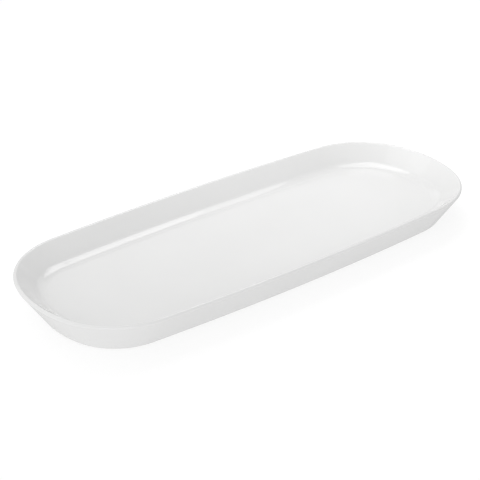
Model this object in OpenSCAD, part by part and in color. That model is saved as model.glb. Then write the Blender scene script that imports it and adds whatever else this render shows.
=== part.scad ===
// Salmon platter in glazed porcelain: a long flat well inside a low sloping wall, on a bare standing ring.
// Millimetres, +Z up. The origin is on the table, under the middle of the platter.

/* [Plan] */
// Length over the lip
length = 600; // [480:1:720]
// Width over the lip
width = 239; // [190:1:290]
// Half of the flattened stretch at each end, by which the corner radius falls short of half the width
end_flat = 23; // [12:0.5:40]
// Angle that half of a long side turns through, which gives the side its bow
side_turn = 3.5; // [0.5:0.1:5]
// Angle that half of an end turns through before the corner starts
end_turn = 19; // [5:1:35]

/* [Heights] */
// Depth of the well below the top of the lip
well_depth = 24; // [14:0.5:34]
// Thickness of the floor between its two glazed faces
floor_thickness = 9; // [6:0.5:14]
// Height of the hollow under the floor
hollow_height = 11; // [7:0.5:16]

/* [Wall] */
// Radius of the round lip, half of the lip's thickness
lip_radius = 2.4; // [1.6:0.1:4]
// Slope of the inside of the wall, from level
inner_slope = 44; // [32:1:50]
// Slope of the outside of the wall, from level
outer_slope = 57; // [50:1:72]
// Radius of the cove between the wall and the well
cove_radius = 20; // [8:0.5:30]

/* [Standing ring] */
// Width of the flat face that stands on the table
ring_width = 7; // [4:0.5:12]
// Radius of the two edges of the ring
ring_edge = 3.5; // [2:0.1:5]
// Slope of the inner side of the ring, from level
ring_slope = 70; // [55:1:85]
// Radius of the fillet between the ring and the hollow
hollow_fillet = 5; // [1.5:0.5:6]

/* [Glaze] */
// Thickness of the glaze
glaze = 0.4; // [0.2:0.05:0.8]
// Height above the table at which the glaze stops, so that the ring stays bare
bare_height = 1; // [0.6:0.1:1.6]

/* [Hidden] */
$fn = 200;

// The plan is eight arcs, each tangent to the next: two long sides, two ends and four corners
half_length = length / 2;
half_width = width / 2;
corner_radius = half_width - end_flat;
turn_share = sin(side_turn) * sin(end_turn) - (1 - cos(side_turn)) * (1 - cos(end_turn));
side_radius = corner_radius
    + ((half_length - corner_radius) * sin(end_turn) - end_flat * (1 - cos(end_turn))) / turn_share;
end_radius = corner_radius
    + (end_flat * sin(side_turn) - (half_length - corner_radius) * (1 - cos(side_turn))) / turn_share;
side_centre = [0, half_width - side_radius];
end_centre = [half_length - end_radius, 0];
corner_centre = end_centre + (end_radius - corner_radius) * [cos(end_turn), sin(end_turn)];
// How far the arcs through the corner centres bulge past the straight line between those centres
side_bulge = (side_radius - corner_radius) * (1 - cos(side_turn));

// Levels of the glazed faces
hollow_level = hollow_height;
well_level = hollow_level + floor_thickness;
lip_level = well_level + well_depth;
floor_middle = (hollow_level + well_level) / 2;

// The wall's section is drawn in [inset from the lip's outer edge, height above the table]
inner_normal = [sin(inner_slope), cos(inner_slope)];
outer_normal = [-sin(outer_slope), -cos(outer_slope)];
ring_normal = [sin(ring_slope), -cos(ring_slope)];
lip_centre = [lip_radius, lip_level - lip_radius];
cove_level = well_level + cove_radius;
cove_centre = [
    lip_centre.x + (lip_radius + cove_radius - (cove_level - lip_centre.y) * inner_normal.y) / inner_normal.x,
    cove_level
];
// The body's own edge arc, one glaze thickness in, touches the table
edge_level = ring_edge - glaze;
heel_centre = [
    lip_centre.x + (lip_radius - ring_edge - (edge_level - lip_centre.y) * outer_normal.y) / outer_normal.x,
    edge_level
];
ring_inner_centre = heel_centre + [ring_width, 0];
ring_middle = heel_centre.x + ring_width / 2;
// If the hollow is too low for all of the fillet, the fillet ends where the edge of the ring begins
ring_side_height = hollow_level - edge_level + ring_edge * cos(ring_slope);
fillet_radius = min(hollow_fillet, ring_side_height / (1 - cos(ring_slope)));
fillet_level = hollow_level - fillet_radius;
fillet_centre = [
    ring_inner_centre.x
        + (ring_edge + fillet_radius - (fillet_level - edge_level) * ring_normal.y) / ring_normal.x,
    fillet_level
];
section_reach = max(end_radius, corner_radius, half_width);

// Allowances inside the solid, none of which shows: by how much a round overlaps the flats that it is
// tangent to, how deep a fillet is rooted, and how far a turned section stays off its axis
overlap = 0.0002;
root = 1;
axis_gap = 0.5;
margin = 1;

// Where a line, at a distance from a centre along its normal, comes to a level
function at_level(centre, normal, distance, level) =
    [centre.x + (distance - (level - centre.y) * normal.y) / normal.x, level];

// Moves by whole millimetres, then thousandths, then the rest, so that neighbouring arcs meet exactly
module move_exactly(v) {
    whole = [for (part = v) round(part)];
    thousandths = [for (part = v - whole) round(1000 * part) / 1000];
    translate(whole)
        translate(thousandths)
            translate(v - whole - thousandths)
                children();
}

// Filled concave corner, up to a circle that touches both sides of the corner
module fillet(centre, radius, side_a, side_b, rooted_at) {
    difference() {
        polygon([centre + radius * side_a, rooted_at, centre + radius * side_b]);
        translate(centre) circle(radius + overlap);
    }
}

// Section of the platter at a depth below the glazed surface
module section(depth) {
    down = [0, -1];
    up = [0, 1];
    lip = lip_radius - depth;
    edge = ring_edge - depth;
    well = well_level - depth;
    ceiling = hollow_level + depth;
    wall_foot = at_level(lip_centre, inner_normal, lip, well);
    ring_head = at_level(ring_inner_centre, ring_normal, edge, ceiling);
    polygon([
        lip_centre + lip * outer_normal,
        heel_centre + edge * outer_normal,
        heel_centre + edge * down,
        ring_inner_centre + edge * down,
        ring_inner_centre + edge * ring_normal,
        ring_head,
        [section_reach, ceiling],
        [section_reach, well],
        wall_foot,
        lip_centre + lip * inner_normal
    ]);
    translate(lip_centre) circle(lip + overlap);
    translate(heel_centre) circle(edge + overlap);
    translate(ring_inner_centre) circle(edge + overlap);
    fillet(cove_centre, cove_radius + depth, -inner_normal, down, wall_foot + root * down);
    fillet(fillet_centre, fillet_radius + depth, -ring_normal, up, ring_head + root * up);
}

// Section of the coat alone, between the glazed surface and the body
module coat_section() {
    difference() {
        section(0);
        section(glaze);
    }
}

// Turns a section about the centre of an arc of the plan, from the lip to a reach inside it
module turn_section(radius, reach, start, angle) {
    rotate_extrude(start = start, angle = angle)
        move_exactly([radius, 0])
            mirror([1, 0])
                intersection() {
                    children();
                    translate([-margin, -margin])
                        square([reach + margin, lip_level + 2 * margin]);
                }
}

// Carries a section right round the plan
module around_plan() {
    for (flip = [0, 1]) {
        mirror([0, flip, 0])
            move_exactly(side_centre)
                turn_section(side_radius, corner_radius, 90 - side_turn, 2 * side_turn) children();
        mirror([flip, 0, 0])
            move_exactly(end_centre)
                turn_section(end_radius, end_radius - axis_gap, -end_turn, 2 * end_turn) children();
        for (flop = [0, 1])
            mirror([flip, 0, 0])
                mirror([0, flop, 0])
                    move_exactly(corner_centre)
                        turn_section(
                            corner_radius, corner_radius - axis_gap, end_turn, 90 - side_turn - end_turn
                        ) children();
    }
}

// Fills the middle of the floor, inside the turned sections, from one level to another
module middle_plate(low, high) {
    half_x = corner_centre.x + 2 * axis_gap;
    half_y = corner_centre.y + 2 * side_bulge;
    translate([-half_x, -half_y, low]) cube([2 * half_x, 2 * half_y, high - low]);
}

module porcelain_body() {
    color("ivory") {
        around_plan() section(glaze);
        middle_plate(hollow_level + glaze, well_level - glaze);
    }
}

module outer_glaze() {
    color("white") {
        around_plan()
            intersection() {
                coat_section();
                polygon([
                    [-margin, bare_height],
                    [ring_middle, bare_height],
                    [ring_middle, floor_middle],
                    [section_reach, floor_middle],
                    [section_reach, lip_level + margin],
                    [-margin, lip_level + margin]
                ]);
            }
        middle_plate(well_level - glaze, well_level);
    }
}

module base_glaze() {
    color("whitesmoke") {
        around_plan()
            intersection() {
                coat_section();
                translate([ring_middle, bare_height])
                    square([section_reach - ring_middle, floor_middle - bare_height]);
            }
        middle_plate(hollow_level, hollow_level + glaze);
    }
}

porcelain_body();
outer_glaze();
base_glaze();
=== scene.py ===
"""Looks of the salmon platter: glossy white porcelain on a pale studio floor."""

import math

import bpy
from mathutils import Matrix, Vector


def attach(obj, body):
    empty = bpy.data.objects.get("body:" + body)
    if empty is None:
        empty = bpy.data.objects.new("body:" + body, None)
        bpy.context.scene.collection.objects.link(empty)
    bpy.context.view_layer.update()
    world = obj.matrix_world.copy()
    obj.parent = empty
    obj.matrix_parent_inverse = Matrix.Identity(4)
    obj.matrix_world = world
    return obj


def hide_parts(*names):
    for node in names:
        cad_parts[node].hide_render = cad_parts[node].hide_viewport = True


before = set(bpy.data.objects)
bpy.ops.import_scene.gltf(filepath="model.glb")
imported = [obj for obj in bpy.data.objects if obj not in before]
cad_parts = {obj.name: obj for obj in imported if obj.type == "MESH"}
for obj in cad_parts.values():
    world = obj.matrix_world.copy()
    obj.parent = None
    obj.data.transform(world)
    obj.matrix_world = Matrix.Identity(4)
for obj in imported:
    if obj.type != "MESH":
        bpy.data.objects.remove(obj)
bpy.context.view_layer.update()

# Metres in a millimetre
MM = 0.001

# The sizes of the platter are in millimetres and degrees, as in the CAD source

# Plan: size over the lip, half of an end's flattened stretch, and the turns of half a side and half an end
LENGTH = 600.0
WIDTH = 239.0
END_FLAT = 23.0
SIDE_TURN = 3.5
END_TURN = 19.0

# Heights: depth of the well below the lip, thickness of the floor, and hollow under the floor
WELL_DEPTH = 24.0
FLOOR_THICKNESS = 9.0
HOLLOW_HEIGHT = 11.0
WELL_LEVEL = HOLLOW_HEIGHT + FLOOR_THICKNESS
LIP_LEVEL = WELL_LEVEL + WELL_DEPTH

# Wall: radius of the lip, slopes from level, and radius of the cove between the wall and the well
LIP_RADIUS = 2.4
INNER_SLOPE = 44.0
OUTER_SLOPE = 57.0
COVE_RADIUS = 20.0

# Standing ring: width of its flat face, radius of its edges, slope of its inner side, and inner fillet
RING_WIDTH = 7.0
RING_EDGE = 3.5
RING_SLOPE = 70.0
HOLLOW_FILLET = 5.0

# Glaze: thickness, and height above the table at which it stops
GLAZE = 0.4
BARE_HEIGHT = 1.0

# How far inside the lip, in millimetres, the swept surfaces end and one flat face takes over
FLAT_INSET = 60.0

# Steps along half an end, a corner and half a side of the plan
END_STEPS = 14
CORNER_STEPS = 40
SIDE_STEPS = 24

# Steps along the rounds of the wall's section
RING_EDGE_STEPS = 12
LIP_STEPS = 32
COVE_STEPS = 40
FILLET_STEPS = 16

# Directions straight up and straight down in the section, in degrees from its first axis
UP_ANGLE = 90
DOWN_ANGLE = 270

# Colours: plain white, and where the two tones of a varied colour lie on its noise, which runs from 0 to 1
WHITE = (1, 1, 1, 1)
LOW_TONE_AT = 0.3
HIGH_TONE_AT = 0.7

# Studio, in metres: half of the floor's side, and the middle of the platter's foot, which the panels face
FLOOR_REACH = 6.0
CENTRE = (0, 0, 0)

# Brightness of the studio's white, and how it changes along each axis
STUDIO_LEVEL = 0.82
STUDIO_SLOPE = (-0.26, 0.01, 0.04)

# Camera as fitted to the photograph's outline: place in metres, turn to the right of +Y, dip below level
CAMERA_PLACE = (-0.890, -1.102, 0.781)
CAMERA_TURN = 38.39
CAMERA_DIP = 28.24
FOCAL_LENGTH_MM = 101.25
SENSOR_WIDTH_MM = 36.0


def turned(degrees):
    """Unit vector at an angle from the first axis."""
    return Vector((math.cos(math.radians(degrees)), math.sin(math.radians(degrees))))


def flipped(station, sign_x, sign_y):
    """Station of the plan on another side of the middle."""
    place, out = station
    signs = Vector((sign_x, sign_y))
    return place * signs, out * signs


def plan_stations():
    """Points of the lip's outline, each with its outward direction, right round the plan."""
    half_length = LENGTH / 2
    half_width = WIDTH / 2
    corner_radius = half_width - END_FLAT
    side_flat = half_length - corner_radius
    side_sin = math.sin(math.radians(SIDE_TURN))
    side_drop = 1 - math.cos(math.radians(SIDE_TURN))
    end_sin = math.sin(math.radians(END_TURN))
    end_drop = 1 - math.cos(math.radians(END_TURN))
    share = side_sin * end_sin - side_drop * end_drop
    side_radius = corner_radius + (side_flat * end_sin - END_FLAT * end_drop) / share
    end_radius = corner_radius + (END_FLAT * side_sin - side_flat * side_drop) / share
    side_centre = Vector((0, half_width - side_radius))
    end_centre = Vector((half_length - end_radius, 0))
    corner_centre = end_centre + (end_radius - corner_radius) * turned(END_TURN)
    side_middle = 90
    side_start = side_middle - SIDE_TURN
    quarter = []
    for centre, radius, first, last, steps in (
        (end_centre, end_radius, 0, END_TURN, END_STEPS),
        (corner_centre, corner_radius, END_TURN, side_start, CORNER_STEPS),
        (side_centre, side_radius, side_start, side_middle, SIDE_STEPS),
    ):
        for step in range(steps):
            out = turned(first + (last - first) * step / steps)
            quarter.append((centre + radius * out, out))
    top = (Vector((0, half_width)), Vector((0, 1)))
    left = [flipped(station, -1, 1) for station in reversed(quarter)]
    upper = quarter + [top] + left
    lower = [flipped(station, 1, -1) for station in reversed(upper[1:-1])]
    return upper + lower


def arc(centre, radius, first, last, steps, inward=False):
    """Points of a round in the wall's section, each with the direction that its surface faces."""
    points = []
    for step in range(steps + 1):
        out = turned(first + (last - first) * step / steps)
        points.append((centre + radius * out, -out if inward else out))
    return points


def section_paths(depth):
    """Two paths over the section at a depth below the glazed surface, both from the middle of the ring:
    one over the outside and the lip to the well, the other up the inside of the hollow."""
    inner_angle = UP_ANGLE - INNER_SLOPE
    outer_angle = DOWN_ANGLE - OUTER_SLOPE
    ring_angle = DOWN_ANGLE + RING_SLOPE
    inner_normal = turned(inner_angle)
    outer_normal = turned(outer_angle)
    ring_normal = turned(ring_angle)
    lip_centre = Vector((LIP_RADIUS, LIP_LEVEL - LIP_RADIUS))
    cove_level = WELL_LEVEL + COVE_RADIUS
    cove_run = LIP_RADIUS + COVE_RADIUS - (cove_level - lip_centre.y) * inner_normal.y
    cove_centre = Vector((lip_centre.x + cove_run / inner_normal.x, cove_level))
    edge_level = RING_EDGE - GLAZE
    heel_run = LIP_RADIUS - RING_EDGE - (edge_level - lip_centre.y) * outer_normal.y
    heel_centre = Vector((lip_centre.x + heel_run / outer_normal.x, edge_level))
    ring_centre = heel_centre + Vector((RING_WIDTH, 0))
    fillet_level = HOLLOW_HEIGHT - HOLLOW_FILLET
    fillet_run = RING_EDGE + HOLLOW_FILLET - (fillet_level - edge_level) * ring_normal.y
    fillet_centre = Vector((ring_centre.x + fillet_run / ring_normal.x, fillet_level))
    down = Vector((0, -1))
    up = Vector((0, 1))
    ring_middle = (heel_centre + ring_centre) / 2 + (RING_EDGE - depth) * down
    outside = [(ring_middle, down)]
    outside += arc(heel_centre, RING_EDGE - depth, DOWN_ANGLE, outer_angle, RING_EDGE_STEPS)
    outside += arc(lip_centre, LIP_RADIUS - depth, outer_angle, inner_angle, LIP_STEPS)
    cove_start = DOWN_ANGLE - INNER_SLOPE
    outside += arc(cove_centre, COVE_RADIUS + depth, cove_start, DOWN_ANGLE, COVE_STEPS, inward=True)
    outside.append((Vector((FLAT_INSET, WELL_LEVEL - depth)), up))
    hollow = [(ring_middle, down)]
    hollow += arc(ring_centre, RING_EDGE - depth, DOWN_ANGLE, ring_angle, RING_EDGE_STEPS)
    fillet_start = UP_ANGLE + RING_SLOPE
    hollow += arc(fillet_centre, HOLLOW_FILLET + depth, fillet_start, UP_ANGLE, FILLET_STEPS, inward=True)
    hollow.append((Vector((FLAT_INSET, HOLLOW_HEIGHT + depth)), down))
    return outside, hollow


def above(path, level):
    """The part of a path that starts where it first rises to a level."""
    heights = [spot.y for spot, facing in path]
    index = next(later for later in range(1, len(path)) if heights[later - 1] < level <= heights[later])
    low_spot, low_facing = path[index - 1]
    high_spot, high_facing = path[index]
    share = (level - low_spot.y) / (high_spot.y - low_spot.y)
    start = (low_spot.lerp(high_spot, share), low_facing.lerp(high_facing, share).normalized())
    return [start] + path[index:]


def coat_path(outer, inner):
    """Path of a coat of glaze: back along its inner face, across its edge and along its outer face."""
    lining = [(spot, -facing) for spot, facing in above(inner, BARE_HEIGHT)]
    return list(reversed(lining)) + above(outer, BARE_HEIGHT)


def sweep_faces(rows, count):
    """Faces between rows of points that go round the plan, and one flat face across each end."""
    faces = []
    for row in range(rows - 1):
        for column in range(count):
            following = (column + 1) % count
            faces.append((
                row * count + column,
                row * count + following,
                (row + 1) * count + following,
                (row + 1) * count + column,
            ))
    last = (rows - 1) * count
    faces.append(tuple(reversed(range(count))))
    faces.append(tuple(last + column for column in range(count)))
    return faces


def swept_piece(name, path, stations, material):
    """Closed piece with smooth shading, made by carrying a path of the section round the plan."""
    vertices = []
    normals = []
    for point, facing in path:
        for place, out in stations:
            spot = place - point.x * out
            vertices.append((spot.x * MM, spot.y * MM, point.y * MM))
            normals.append((-facing.x * out.x, -facing.x * out.y, facing.y))
    mesh = bpy.data.meshes.new(name)
    mesh.from_pydata(vertices, [], sweep_faces(len(path), len(stations)))
    mesh.validate()
    mesh.update()
    # If the first face looks the other way than its normals, so do all of them
    first = mesh.polygons[0]
    wanted = sum((Vector(normals[index]) for index in first.vertices), Vector())
    if first.normal.dot(wanted) < 0:
        mesh.flip_normals()
    mesh.polygons.foreach_set("use_smooth", [True] * len(mesh.polygons))
    mesh.normals_split_custom_set_from_vertices(normals)
    mesh.materials.append(material)
    piece = bpy.data.objects.new(name, mesh)
    bpy.context.scene.collection.objects.link(piece)
    return piece


def node_material(name, roughness):
    """New material with its node tree and its surface shader."""
    material = bpy.data.materials.new(name)
    material.use_nodes = True
    tree = material.node_tree
    shader = tree.nodes["Principled BSDF"]
    shader.inputs["Roughness"].default_value = roughness
    return material, tree, shader


def object_noise(tree, scale, detail):
    """Socket with noise over the object."""
    place = tree.nodes.new("ShaderNodeTexCoord")
    noise = tree.nodes.new("ShaderNodeTexNoise")
    noise.inputs["Scale"].default_value = scale
    noise.inputs["Detail"].default_value = detail
    tree.links.new(place.outputs["Object"], noise.inputs["Vector"])
    return noise.outputs["Fac"]


def varied_colour(tree, shader, scale, detail, low, high):
    """Base colour that wanders between two tones over the object."""
    ramp = tree.nodes.new("ShaderNodeValToRGB")
    low_stop, high_stop = ramp.color_ramp.elements
    low_stop.position = LOW_TONE_AT
    low_stop.color = low
    high_stop.position = HIGH_TONE_AT
    high_stop.color = high
    tree.links.new(object_noise(tree, scale, detail), ramp.inputs["Fac"])
    tree.links.new(ramp.outputs["Color"], shader.inputs["Base Color"])


def surface_grain(tree, shader, scale, detail, strength, distance):
    """Slight unevenness of the surface."""
    bump = tree.nodes.new("ShaderNodeBump")
    bump.inputs["Strength"].default_value = strength
    bump.inputs["Distance"].default_value = distance
    tree.links.new(object_noise(tree, scale, detail), bump.inputs["Height"])
    tree.links.new(bump.outputs["Normal"], shader.inputs["Normal"])


def glaze_material():
    """Clear glaze over white porcelain, glossy and a little uneven."""
    material, tree, shader = node_material("white_glaze", roughness=0.03)
    shader.inputs["IOR"].default_value = 1.60
    low = (0.73, 0.73, 0.727, 1)
    high = (0.75, 0.75, 0.747, 1)
    varied_colour(tree, shader, scale=9, detail=3, low=low, high=high)
    surface_grain(tree, shader, scale=28, detail=2, strength=0.05, distance=0.0004)
    return material


def porcelain_material():
    """Bare fired porcelain, matt and finely grained, as on the standing ring."""
    material, tree, shader = node_material("bare_porcelain", roughness=0.62)
    low = (0.74, 0.725, 0.69, 1)
    high = (0.82, 0.81, 0.78, 1)
    varied_colour(tree, shader, scale=600, detail=6, low=low, high=high)
    surface_grain(tree, shader, scale=1800, detail=4, strength=0.25, distance=0.00015)
    return material


def floor_material():
    """White sheet that is lit from below as well, so that shadows on it stay faint."""
    material, tree, shader = node_material("studio_floor", roughness=0.75)
    low = (0.28, 0.28, 0.28, 1)
    high = (0.29, 0.29, 0.29, 1)
    varied_colour(tree, shader, scale=2.5, detail=2, low=low, high=high)
    shader.inputs["Specular IOR Level"].default_value = 0.2
    shader.inputs["Emission Color"].default_value = WHITE
    shader.inputs["Emission Strength"].default_value = 0.73
    return material


def softbox(name, place, target, size, brightness):
    """Rectangular studio light that faces a point, with the brightness that its face shows."""
    wide, high = size
    light = bpy.data.lights.new(name, "AREA")
    light.shape = "RECTANGLE"
    light.size = wide
    light.size_y = high
    light.energy = brightness * math.pi * wide * high
    lamp = bpy.data.objects.new(name, light)
    lamp.location = place
    lamp.rotation_euler = (Vector(target) - Vector(place)).to_track_quat("-Z", "Y").to_euler()
    bpy.context.scene.collection.objects.link(lamp)


def graded_studio():
    """White surroundings, brighter at the left and overhead than at the right and below."""
    world = bpy.data.worlds.new("studio")
    world.use_nodes = True
    tree = world.node_tree
    direction = tree.nodes.new("ShaderNodeTexCoord")
    slope = tree.nodes.new("ShaderNodeVectorMath")
    slope.operation = "DOT_PRODUCT"
    slope.inputs[1].default_value = STUDIO_SLOPE
    level = tree.nodes.new("ShaderNodeMath")
    level.operation = "ADD"
    level.inputs[1].default_value = STUDIO_LEVEL
    background = tree.nodes["Background"]
    background.inputs["Color"].default_value = WHITE
    tree.links.new(direction.outputs["Generated"], slope.inputs[0])
    tree.links.new(slope.outputs["Value"], level.inputs[0])
    tree.links.new(level.outputs["Value"], background.inputs["Strength"])
    return world


# Platter
stations = plan_stations()
body_out, body_in = section_paths(GLAZE)
coat_out, coat_in = section_paths(0)
body_path = list(reversed(body_in[1:])) + body_out
glaze = glaze_material()
porcelain = porcelain_material()

for name, path, material, node, slot in (
    ("porcelain", body_path, porcelain, "porcelain_body", "porcelain"),
    ("glaze_over", coat_path(coat_out, body_out), glaze, "outer_glaze", "glaze"),
    ("glaze_under", coat_path(coat_in, body_in), glaze, "base_glaze", "glaze"),
):
    piece = swept_piece(name, path, stations, material)
    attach(piece, "root")
    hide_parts(node)

# Floor, kept out of the platter's reflections, which show the studio instead
floor_mesh = bpy.data.meshes.new("floor")
floor_corners = [(x * FLOOR_REACH, y * FLOOR_REACH, 0) for x, y in ((-1, -1), (1, -1), (1, 1), (-1, 1))]
floor_mesh.from_pydata(floor_corners, [], [(0, 1, 2, 3)])
floor_mesh.materials.append(floor_material())
floor = bpy.data.objects.new("floor", floor_mesh)
bpy.context.scene.collection.objects.link(floor)
floor.visible_glossy = False

# Light: three boxes overhead, a panel at the left front, and weak panels at the back and the back right
for name, place, target, size, brightness in (
    ("overhead_core", (0.23, 0.17, 0.58), (0.23, 0.17, 0), (0.24, 0.34), 1.00),
    ("overhead_box", (0.295, 0.19, 0.60), (0.295, 0.19, 0), (0.45, 0.42), 1.45),
    ("overhead_left", (-0.28, 0.42, 0.70), (-0.15, 0, 0), (0.55, 0.75), 0.44),
    ("left_front", (-1.37, -1.63, 0.45), CENTRE, (1.4, 0.9), 0.85),
    ("back", (-0.40, 1.50, 1.56), CENTRE, (1.2, 0.9), 0.20),
    ("back_right", (1.47, 1.47, 1.10), CENTRE, (2.4, 0.75), 0.30),
):
    softbox(name, place, target, size, brightness)
bpy.context.scene.world = graded_studio()
bpy.context.scene.view_settings.view_transform = "Standard"

# Camera, which would look straight down without its turns
lens = bpy.data.cameras.new("camera")
lens.sensor_width = SENSOR_WIDTH_MM
lens.lens = FOCAL_LENGTH_MM
camera = bpy.data.objects.new("camera", lens)
camera.location = CAMERA_PLACE
camera.rotation_euler = (math.radians(90 - CAMERA_DIP), 0, math.radians(-CAMERA_TURN))
bpy.context.scene.collection.objects.link(camera)
bpy.context.scene.camera = camera
